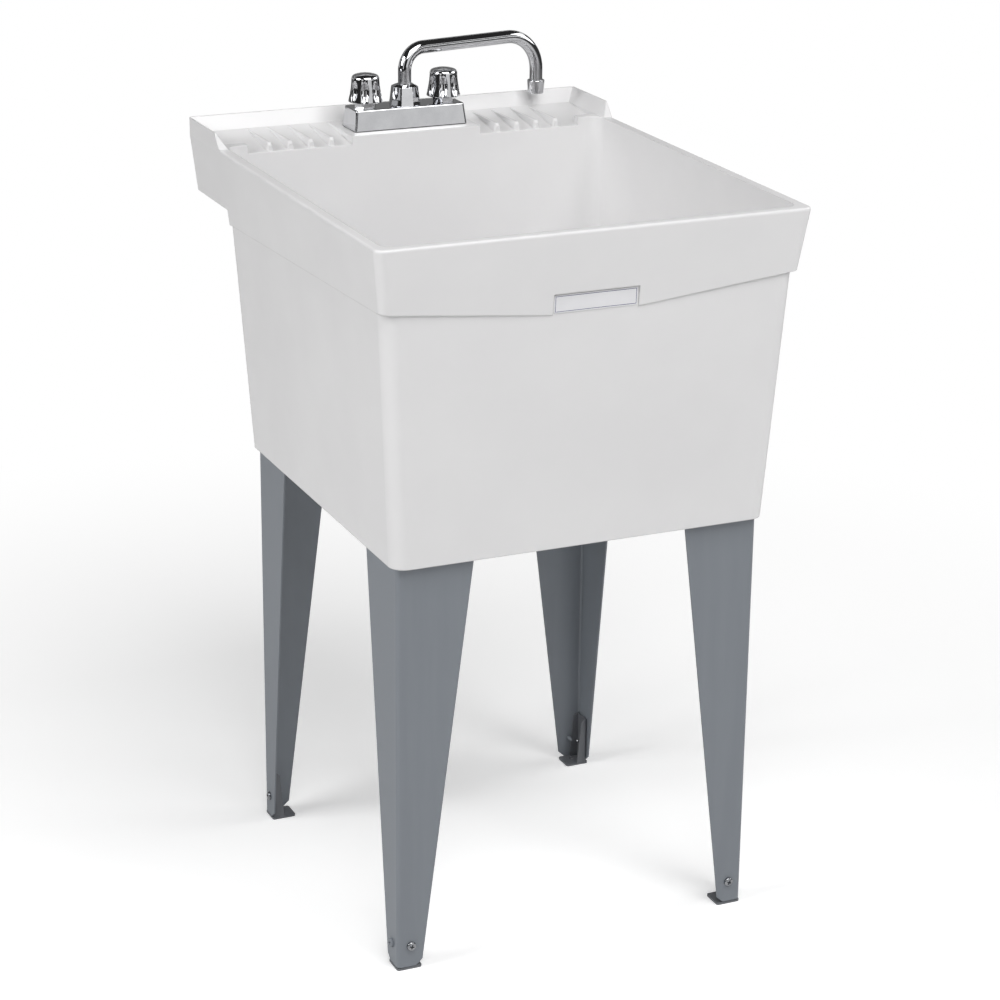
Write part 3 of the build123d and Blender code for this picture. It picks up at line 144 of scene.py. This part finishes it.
world = bpy.data.worlds.new("room")
bpy.context.scene.world = world
world.use_nodes = True
tree = world.node_tree
ambient = tree.nodes["Background"]
ambient.inputs["Color"].default_value = room_shade
ambient.inputs["Strength"].default_value = room_strength
white = tree.nodes.new("ShaderNodeBackground")
white.inputs["Color"].default_value = (1.0, 1.0, 1.0, 1.0)
rays = tree.nodes.new("ShaderNodeLightPath").outputs
camera_or_gloss = calculate(tree, "MAXIMUM", rays["Is Camera Ray"], rays["Is Glossy Ray"])
show_mixed(
    tree, "World Output",
    calculate(tree, "MAXIMUM", camera_or_gloss, rays["Is Transmission Ray"]),
    ambient.outputs["Background"], white.outputs["Background"],
)

# Three soft boxes, aimed at the middle of the sink: a large one overhead in front, one on the
# left and a weak one on the right.
lamp_aim = Vector((0, 0, 0.6))
for name, place, size, power in (
    ("box_over", (0.1, -2.0, 3.1), 2.6, 88.0),
    ("box_left", (-3.15, -0.1, 2.3), 1.8, 64.0),
    ("box_right", (3.0, -0.4, 2.3), 1.8, 31.0),
):
    bpy.ops.object.light_add(type="AREA", location=place)
    lamp = bpy.context.object
    lamp.name = name
    lamp.data.shape = "SQUARE"
    lamp.data.size = size
    lamp.data.energy = power
    lamp.rotation_euler = (lamp_aim - Vector(place)).to_track_quat("-Z", "Y").to_euler()

# Dark, grey and white cards stand round the set and hang over it, as photographers put them
# up for bright metal. Only reflections see them: they take no light from sink or floor.
for name, place, width, height, shade in (
    ("card_over", (0.0, 0.0, 4.2), 9.0, 9.0, 0.03),
    ("card_rear", (0.0, 5.0, 2.6), 10.0, 3.2, 0.20),
    ("card_left", (-5.0, 0.2, 1.7), 8.0, 3.4, 0.03),
    ("card_right", (5.0, 0.2, 1.7), 8.0, 3.4, 0.05),
    ("card_front_left", (-2.3, -6.0, 1.8), 4.8, 4.2, 0.02),
    ("card_front_right", (4.6, -4.6, 1.9), 4.6, 3.8, 0.05),
    ("card_front_grey", (2.9, -6.0, 1.8), 4.4, 4.2, 0.85),
    ("card_band", (3.5, -3.9, 1.7), 3.6, 0.6, 1.6),
):
    bpy.ops.mesh.primitive_plane_add(size=1.0)
    card = bpy.context.object
    card.name = name
    card.scale = (width, height, 1.0)
    card.location = place
    if name != "card_over":
        to_middle = Vector((0, 0, place[2])) - Vector(place)
        card.rotation_euler = to_middle.to_track_quat("Z", "Y").to_euler()
    material, tree = new_material(name)[:2]
    plain = tree.nodes.new("ShaderNodeEmission")
    plain.inputs["Color"].default_value = (shade, shade, shade, 1.0)
    tree.links.new(plain.outputs["Emission"], tree.nodes["Material Output"].inputs["Surface"])
    card.data.materials.append(material)
    card.visible_camera = False
    card.visible_diffuse = False
    card.visible_shadow = False
    card.visible_transmission = False

# ---------------------------------------------------------------- tub
# Bowl, apron, draining deck and upstand are one injection moulding of white polypropylene,
# satin outside, with the faint unevenness of a large moulding and softened edges.
shade_ends = (0.35, 0.65)
drift_detail = 3.0
grain_detail = 2.0


def noise(tree, place, size, detail):
    """The strength at each place of a cloudy pattern, its clouds of that size in metres."""
    clouds = tree.nodes.new("ShaderNodeTexNoise")
    clouds.inputs["Scale"].default_value = 1 / size
    clouds.inputs["Detail"].default_value = detail
    tree.links.new(place, clouds.inputs["Vector"])
    return clouds.outputs["Fac"]


def finish(
    name, shades, patch, gloss, grain, depth, metallic=0.0, soft_edge=0.0, stretch=(1, 1, 1)
):
    """A finish that drifts between two shades and two roughnesses, over a fine grain.

    patch and grain are the sizes of the drift and of the grain in metres, depth is the
    height of the grain, soft_edge the radius that the light sees on sharp edges, and
    stretch pulls the drift and the grain out along an axis where it is below 1.
    """
    material, tree, shader, place = new_material(name)
    shader.inputs["Metallic"].default_value = metallic
    pulled = tree.nodes.new("ShaderNodeMapping")
    pulled.inputs["Scale"].default_value = stretch
    tree.links.new(place, pulled.inputs["Vector"])
    drift = noise(tree, pulled.outputs["Vector"], patch, drift_detail)
    colours = tree.nodes.new("ShaderNodeValToRGB")
    for end, position, shade in zip(colours.color_ramp.elements, shade_ends, shades):
        end.position = position
        end.color = (*shade, 1.0)
    tree.links.new(drift, colours.inputs["Fac"])
    tree.links.new(colours.outputs["Color"], shader.inputs["Base Color"])
    rough = tree.nodes.new("ShaderNodeMapRange")
    rough.inputs["To Min"].default_value, rough.inputs["To Max"].default_value = gloss
    tree.links.new(drift, rough.inputs["Value"])
    tree.links.new(rough.outputs["Result"], shader.inputs["Roughness"])
    relief = tree.nodes.new("ShaderNodeBump")
    relief.name = "relief"
    relief.inputs["Distance"].default_value = depth
    fine = noise(tree, pulled.outputs["Vector"], grain, grain_detail)
    tree.links.new(fine, relief.inputs["Height"])
    if soft_edge:
        edge = tree.nodes.new("ShaderNodeBevel")
        edge.inputs["Radius"].default_value = soft_edge
        tree.links.new(edge.outputs["Normal"], relief.inputs["Normal"])
    tree.links.new(relief.outputs["Normal"], shader.inputs["Normal"])
    return material


def dress(material, *nodes):
    """Gives CAD nodes that finish."""
    for node in nodes:
        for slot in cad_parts[node].material_slots:
            slot.material = material


tub_plastic = finish(
    "tub_plastic", ((0.782, 0.777, 0.782), (0.805, 0.801, 0.804)), patch=0.12,
    gloss=(0.20, 0.28), grain=0.0022, depth=0.00003, soft_edge=0.0018,
)
dress(tub_plastic, "tub")

# ---------------------------------------------------------------- plate on the apron
# A thin plate lies in the bay at the middle of the apron: smooth, about as glossy as the tub,
# with nothing on it but a thin blue border printed near its edge.
border_inset = 0.0016
border_width = 0.0006
border_ink = (0.045, 0.05, 0.16, 1.0)


def coordinates(tree):
    """The object coordinates, with X, Y and Z as outputs of their own."""
    parts = tree.nodes.new("ShaderNodeSeparateXYZ")
    place = tree.nodes.new("ShaderNodeTexCoord").outputs["Object"]
    tree.links.new(place, parts.inputs["Vector"])
    return parts.outputs


plate_finish = finish(
    "plate_finish", ((0.80, 0.80, 0.82), (0.83, 0.83, 0.85)), patch=0.03,
    gloss=(0.22, 0.28), grain=0.0010, depth=0.00001, soft_edge=0.0003,
)
tree = plate_finish.node_tree
shader = tree.nodes["Principled BSDF"]
plain_colour = shader.inputs["Base Color"].links[0].from_socket
place = coordinates(tree)
plate_low, plate_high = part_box("front_plate")
past_inset = []
for axis, index in (("X", 0), ("Z", 2)):
    middle = (plate_low[index] + plate_high[index]) / 2
    half = (plate_high[index] - plate_low[index]) / 2
    from_middle = calculate(tree, "ABSOLUTE", calculate(tree, "SUBTRACT", place[axis], middle))
    past_inset.append(calculate(tree, "SUBTRACT", from_middle, half - border_inset))
outermost = calculate(tree, "MAXIMUM", *past_inset)
on_line = calculate(tree, "COMPARE", outermost, 0.0, border_width / 2)
printed = tree.nodes.new("ShaderNodeMix")
printed.data_type = "RGBA"
tree.links.new(on_line, printed.inputs["Factor"])
tree.links.new(plain_colour, printed.inputs["A"])
printed.inputs["B"].default_value = border_ink
tree.links.new(printed.outputs["Result"], shader.inputs["Base Color"])
dress(plate_finish, "front_plate")

# ---------------------------------------------------------------- legs
# Four legs of folded sheet steel, tapering to the foot, in grey baked paint. The rolling of
# the sheet shows through it as faint upright streaks.
leg_paint = finish(
    "leg_paint", ((0.207, 0.226, 0.252), (0.217, 0.237, 0.263)), patch=0.014,
    gloss=(0.36, 0.50), grain=0.0010, depth=0.00003, soft_edge=0.0004, stretch=(1, 1, 0.08),
)
dress(leg_paint, "leg_fl", "leg_fr", "leg_bl", "leg_br")

# ---------------------------------------------------------------- feet
# Levelling feet folded from thicker sheet, with a slot for the screw that holds each of them in
# its leg. They have the legs' grey paint, its colour darkened as painted shade for the shade
# below the legs.
# The legs' paint made darker: painted shade, not a paint of its own.
shaded_foot_paint = finish(
    "shaded_foot_paint", ((0.125, 0.132, 0.145), (0.155, 0.162, 0.175)), patch=0.01,
    gloss=(0.36, 0.5), grain=0.0009, depth=0.00003, soft_edge=0.0004, stretch=(1, 1, 0.2),
)
dress(shaded_foot_paint, "foot_fl", "foot_fr", "foot_bl", "foot_br")

# ---------------------------------------------------------------- foot screws
# Eight zinc-plated pan-head screws with a cross recess and a tapping thread, one through each
# flange of each leg. One is modelled, head up on its seat, and copied to the other places.
screw_head_radius = 0.0055
screw_head_height = 0.0032
screw_head_sides = 48
screw_dome = 0.0019
screw_dome_steps = 6
cross_length = 0.0072
cross_width = 0.0019
cross_depth = 0.0023
cross_taper = 0.55
core_radius = 0.0020
core_sides = 32
rod_length = 0.0104
tip_length = 0.0016
tip_taper = 0.3
thread_radius = 0.0025
thread_root = 0.0018
thread_pitch = 0.0014
thread_half_width = 0.000448
thread_steps = 24
screw_crease = radians(35)
screw_height = 0.029
screw_from_fold = 0.0165
leg_fold_x = 0.2185
leg_fold_front = -0.270
leg_fold_back = 0.1745
end_screw_turn = 25
side_screw_turn = 70
left_right_turn = 40
hair = 0.00001

zinc_plate = finish(
    "zinc_plate", ((0.24, 0.25, 0.27), (0.33, 0.335, 0.345)), patch=0.004,
    gloss=(0.07, 0.13), grain=0.0006, depth=0.000004, metallic=1.0, soft_edge=0.0002,
)


def choose(*pieces):
    """Selects these pieces and nothing else. The last one is the active one."""
    bpy.ops.object.select_all(action="DESELECT")
    for piece in pieces:
        piece.select_set(True)
        bpy.context.view_layer.objects.active = piece


def settled():
    """The piece that was just added, with its place, turn and size put in its mesh."""
    bpy.ops.object.transform_apply(location=True, rotation=True, scale=True)
    return bpy.context.object


def pick(piece, kind, test):
    """In edit mode, selects the piece's faces or edges whose middle passes the test."""
    bpy.ops.mesh.select_mode(type={"faces": "FACE", "edges": "EDGE"}[kind])
    mesh = bmesh.from_edit_mesh(piece.data)
    for part in (*mesh.faces, *mesh.edges, *mesh.verts):
        part.select = False
    for part in getattr(mesh, kind):
        if test(sum((corner.co for corner in part.verts), Vector()) / len(part.verts)):
            part.select_set(True)
    mesh.select_flush_mode()
    bmesh.update_edit_mesh(piece.data)


def apply_modifier(piece, kind, **settings):
    """Adds a modifier to the piece, sets it and applies it."""
    choose(piece)
    modifier = piece.modifiers.new(kind.lower(), kind)
    for setting, value in settings.items():
        setattr(modifier, setting, value)
    bpy.ops.object.modifier_apply(modifier=modifier.name)


def smooth(piece, crease, material):
    """Shades the piece smooth up to that angle, and gives it its finish."""
    choose(piece)
    bpy.ops.object.shade_smooth_by_angle(angle=crease)
    piece.data.materials.clear()
    piece.data.materials.append(material)


def copy_to(piece, name, move):
    """A copy of the piece with its own mesh, moved within that mesh."""
    placed = piece.copy()
    placed.data = piece.data.copy()
    placed.name = name
    bpy.context.collection.objects.link(placed)
    placed.data.transform(move)
    return placed


# Head: a disc whose upper edge is rounded over, with the cross sunk into it.
choose()
bpy.ops.mesh.primitive_cylinder_add(
    vertices=screw_head_sides, radius=screw_head_radius, depth=screw_head_height,
    location=(0, 0, screw_head_height / 2),
)
screw = settled()
bpy.ops.object.mode_set(mode="EDIT")
pick(screw, "edges", lambda middle: middle.z > screw_head_height - hair)
bpy.ops.mesh.bevel(offset=screw_dome, segments=screw_dome_steps, affect="EDGES")
bpy.ops.object.mode_set(mode="OBJECT")
for turn in (0, pi / 2):
    choose()
    bpy.ops.mesh.primitive_cube_add(
        size=1.0, location=(0, 0, screw_head_height), rotation=(0, 0, turn),
        scale=(cross_length, cross_width, 2 * cross_depth),
    )
    cutter = settled()
    bpy.ops.object.mode_set(mode="EDIT")
    pick(cutter, "faces", lambda middle: middle.z < screw_head_height - cross_depth + hair)
    bpy.ops.transform.resize(value=(cross_taper, cross_taper, 1.0))
    bpy.ops.object.mode_set(mode="OBJECT")
    apply_modifier(screw, "BOOLEAN", operation="DIFFERENCE", solver="EXACT", object=cutter)
    bpy.data.objects.remove(cutter)

# Core: a rod that ends in a blunt point.
choose()
bpy.ops.mesh.primitive_cylinder_add(
    vertices=core_sides, radius=core_radius, depth=rod_length, location=(0, 0, -rod_length / 2)
)
core = settled()
bpy.ops.object.mode_set(mode="EDIT")
pick(core, "faces", lambda middle: middle.z < -rod_length + hair)
bpy.ops.mesh.extrude_region_move(TRANSFORM_OT_translate={"value": (0, 0, -tip_length)})
bpy.ops.transform.resize(value=(tip_taper, tip_taper, 1.0))
bpy.ops.object.mode_set(mode="OBJECT")

# Thread: a three-cornered ridge wound down the core, its root sunk a little into it.
choose()
bpy.ops.mesh.primitive_circle_add(
    vertices=3, radius=1.0, fill_type="NOTHING", location=(0, 0, 0), rotation=(pi / 2, 0, 0)
)
thread = settled()
profile = (
    (thread_radius, 0.0), (thread_root, thread_half_width), (thread_root, -thread_half_width)
)
for corner, (radius, height) in zip(thread.data.vertices, profile):
    corner.co = (radius, 0.0, height - thread_pitch)
apply_modifier(
    thread, "SCREW", axis="Z", angle=2 * pi, screw_offset=-thread_pitch,
    iterations=int(rod_length / thread_pitch) - 1, steps=thread_steps,
    render_steps=thread_steps, use_smooth_shade=False,
)
bpy.ops.object.mode_set(mode="EDIT")
bpy.ops.mesh.select_all(action="SELECT")
bpy.ops.mesh.fill_holes(sides=3)
bpy.ops.mesh.select_all(action="SELECT")
bpy.ops.mesh.normals_make_consistent(inside=False)
bpy.ops.object.mode_set(mode="OBJECT")

choose(core, thread, screw)
bpy.ops.object.join()
smooth(screw, screw_crease, zinc_plate)

# The two screws of a leg: one through the flange that faces front or back, one through the
# flange that faces the side. One of the two is painted over with the leg.
for name, side, fold_y, inward, painted in (
    ("fl", -1, leg_fold_front, 1, "side"), ("fr", 1, leg_fold_front, 1, "side"),
    ("bl", -1, leg_fold_back, -1, "end"), ("br", 1, leg_fold_back, -1, "end"),
):
    end_seat = (side * (leg_fold_x - screw_from_fold), fold_y, screw_height)
    side_seat = (side * leg_fold_x, fold_y + inward * screw_from_fold, screw_height)
    for flange, seat, outward, turn in (
        ("end", end_seat, (0, -inward, 0), end_screw_turn),
        ("side", side_seat, (side, 0, 0), side_screw_turn),
    ):
        stand_up = Vector(outward).to_track_quat("Z", "Y").to_matrix().to_4x4()
        spin = Matrix.Rotation(radians(turn + left_right_turn * side), 4, "Z")
        placed = copy_to(
            screw, f"foot_screw_{name}_{flange}", Matrix.Translation(seat) @ stand_up @ spin
        )
        if flange == painted:
            placed.data.materials[0] = leg_paint
        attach(placed, "stand")
        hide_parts("foot_screws")
bpy.data.objects.remove(screw)

# ---------------------------------------------------------------- drain
# A stainless drain clamped through the floor of the bowl by a nut, over rubber and fibre
# rings, with a white plastic tailpiece and its slip nut below. A rubber stopper closes it.


def cut_thread(material, pitch, depth, bands):
    """Adds the rings of a thread to a finish, on the stretches of height that it is cut on."""
    tree = material.node_tree
    height = coordinates(tree)["Z"]
    ridge = calculate(tree, "DIVIDE", calculate(tree, "PINGPONG", height, pitch / 2), pitch / 2)
    threaded = 0.0
    for low, high in bands:
        inside = calculate(tree, "COMPARE", height, (low + high) / 2, (high - low) / 2)
        threaded = calculate(tree, "MAXIMUM", inside, threaded)
    rings = tree.nodes.new("ShaderNodeBump")
    rings.inputs["Distance"].default_value = depth
    tree.links.new(calculate(tree, "MULTIPLY", ridge, threaded), rings.inputs["Height"])
    tree.links.new(tree.nodes["relief"].outputs["Normal"], rings.inputs["Normal"])
    shader = tree.nodes["Principled BSDF"]
    tree.links.new(rings.outputs["Normal"], shader.inputs["Normal"])


drain_steel = finish(
    "drain_steel", ((0.60, 0.60, 0.60), (0.70, 0.70, 0.69)), patch=0.006,
    gloss=(0.18, 0.32), grain=0.0008, depth=0.00001, metallic=1.0, soft_edge=0.0003,
)
cut_thread(drain_steel, pitch=0.0022, depth=0.0009, bands=((0.4796, 0.5028), (0.512, 0.5165)))
dress(drain_steel, "drain_body")
nut_steel = finish(
    "nut_steel", ((0.58, 0.58, 0.59), (0.68, 0.68, 0.68)), patch=0.008,
    gloss=(0.24, 0.38), grain=0.0008, depth=0.00002, metallic=1.0, soft_edge=0.0004,
)
dress(nut_steel, "drain_locknut", "stopper_ring")
black_rubber = finish(
    "black_rubber", ((0.018, 0.018, 0.019), (0.034, 0.034, 0.036)), patch=0.008,
    gloss=(0.5, 0.7), grain=0.0007, depth=0.00004, soft_edge=0.0004,
)
dress(black_rubber, "drain_gasket", "tailpiece_washer", "stopper")
fibre = finish(
    "fibre", ((0.20, 0.13, 0.075), (0.27, 0.18, 0.11)), patch=0.003,
    gloss=(0.7, 0.85), grain=0.0005, depth=0.00004,
)
dress(fibre, "drain_friction_ring")
white_plastic = finish(
    "white_plastic", ((0.72, 0.72, 0.70), (0.77, 0.77, 0.75)), patch=0.02,
    gloss=(0.30, 0.42), grain=0.0010, depth=0.00002, soft_edge=0.0004,
)
dress(white_plastic, "slip_nut", "tailpiece")

# ---------------------------------------------------------------- faucet
# Cover, necks, spout nut, tube and aerator are brass under bright chrome. What lies under the
# cover and below the deck is bare brass, with threaded shanks and rubber seats and seals.
chrome = finish(
    "chrome", ((0.57, 0.575, 0.59), (0.62, 0.625, 0.64)), patch=0.02,
    gloss=(0.03, 0.06), grain=0.004, depth=0.000004, metallic=1.0, soft_edge=0.0005,
)
dress(
    chrome, "faucet_cover", "spout", "spout_nut", "aerator_housing", "hot_bonnet", "cold_bonnet",
)
brass = finish(
    "brass", ((0.55, 0.38, 0.14), (0.63, 0.45, 0.19)), patch=0.01,
    gloss=(0.25, 0.4), grain=0.0008, depth=0.00003, metallic=1.0, soft_edge=0.0003,
)
dress(brass, "shank_nuts", "hot_stem", "cold_stem")
body_brass = finish(
    "body_brass", ((0.53, 0.37, 0.14), (0.61, 0.44, 0.19)), patch=0.012,
    gloss=(0.28, 0.45), grain=0.0010, depth=0.00005, metallic=1.0, soft_edge=0.0004,
)
cut_thread(body_brass, pitch=0.0018, depth=0.0008, bands=((0.7965, 0.8258), (0.8282, 0.8475)))
dress(body_brass, "faucet_body")
dress(black_rubber, "base_gasket", "spout_seal", "aerator_washer")
dress(black_rubber, "hot_seat", "cold_seat", "hot_stem_seal", "cold_stem_seal")
dress(white_plastic, "shank_washers", "aerator_screen")
dress(zinc_plate, "hot_knob_screw", "cold_knob_screw")
# The caps are coloured dark as painted reflection: they copy the dark room that the chrome dome
# round them reflects.
cap_plastic = finish(
    "cap_plastic", ((0.10, 0.10, 0.103), (0.13, 0.13, 0.132)), patch=0.006,
    gloss=(0.12, 0.2), grain=0.0010, depth=0.00001, soft_edge=0.0003,
)
dress(cap_plastic, "hot_cap", "cold_cap")

# ---------------------------------------------------------------- knobs
# Two cast knobs under the same chrome: a tapered skirt with eight scooped flutes, a rounded
# shoulder and a low dome with a seat for the cap. Below they are hollow round a hub.
knob_foot = 0.0205
knob_sides = 96
knob_first_ring = 0.001
knob_skirt_rings = 10
skirt_top = (0.01675, 0.0260)
knob_shoulder = (
    (0.01675, 0.0274), (0.01660, 0.0284), (0.01628, 0.0294), (0.01580, 0.0303),
    (0.01510, 0.0311), (0.01400, 0.03173), (0.01200, 0.03235), (0.01000, 0.03286),
    (0.00760, 0.03334),
)
knob_wall = 0.0030
knob_hollow = (0.01375, 0.0180)
knob_hub = (0.0075, 0.0010)
knob_socket = (0.0046, 0.0131)
knob_crease = radians(30)
scoop_count = 8
scoop_sides = 48
scoop_rings = 32
scoop_radius = 0.0064
scoop_half_height = 0.0148
scoop_middle = 0.0138
scoop_depth = 0.0034


def step(radius, height, last):
    """Extrudes the selected ring of faces to a new radius and height on the knob's axis."""
    bpy.ops.mesh.extrude_region_move(
        TRANSFORM_OT_translate={"value": (0, 0, height - last[1])}
    )
    share = radius / last[0]
    bpy.ops.transform.resize(value=(share, share, 1.0))
    return radius, height


# Outside: rings go up the skirt and over the shoulder, and the cap's seat is sunk below them.
cap_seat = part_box("hot_cap")[0][2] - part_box("hot_knob")[0][2]
choose()
bpy.ops.mesh.primitive_cylinder_add(
    vertices=knob_sides, radius=knob_foot, depth=knob_first_ring,
    location=(0, 0, knob_first_ring / 2),
)
knob = settled()
bpy.ops.object.mode_set(mode="EDIT")
pick(knob, "faces", lambda middle: middle.z > knob_first_ring - hair)
last = (knob_foot, knob_first_ring)
for ring in range(1, knob_skirt_rings + 1):
    share = ring / knob_skirt_rings
    last = step(
        knob_foot + (skirt_top[0] - knob_foot) * share,
        knob_first_ring + (skirt_top[1] - knob_first_ring) * share, last,
    )
for radius, height in knob_shoulder:
    last = step(radius, height, last)
step(last[0], cap_seat, last)

# Inside: up the wall, in to the hub, down it, and up its socket.
pick(knob, "faces", lambda middle: middle.z < hair)
last = (knob_foot, 0.0)
for radius, height in (
    (knob_foot - knob_wall, 0.0), knob_hollow, (knob_hub[0], knob_hollow[1]), knob_hub,
    (knob_socket[0], knob_hub[1]), knob_socket,
):
    last = step(radius, height, last)
bpy.ops.object.mode_set(mode="OBJECT")

# The scoops: long egg shapes that lean with the skirt, cut out of it one after the other.
skirt_lean = (knob_foot - skirt_top[0]) / skirt_top[1]
skirt_there = knob_foot - skirt_lean * scoop_middle
scoop_place = (skirt_there + scoop_radius - scoop_depth, 0, scoop_middle)
for number in range(scoop_count):
    choose()
    bpy.ops.mesh.primitive_uv_sphere_add(
        segments=scoop_sides, ring_count=scoop_rings, radius=1.0, location=(0, 0, 0)
    )
    scoop = bpy.context.object
    scoop.data.transform(
        Matrix.Rotation(2 * pi / scoop_count * (number + 0.5), 4, "Z")
        @ Matrix.Translation(scoop_place)
        @ Matrix.Rotation(-atan(skirt_lean), 4, "Y")
        @ Matrix.Diagonal((scoop_radius, scoop_radius, scoop_half_height, 1.0))
    )
    apply_modifier(knob, "BOOLEAN", operation="DIFFERENCE", solver="EXACT", object=scoop)
    bpy.data.objects.remove(scoop)
smooth(knob, knob_crease, chrome)

for name in ("hot", "cold"):
    low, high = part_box(f"{name}_knob")
    middle = ((low[0] + high[0]) / 2, (low[1] + high[1]) / 2, low[2])
    placed = copy_to(knob, f"{name}_knob_shell", Matrix.Translation(middle))
    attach(placed, f"{name}_handle")
    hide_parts(f"{name}_knob")
bpy.data.objects.remove(knob)
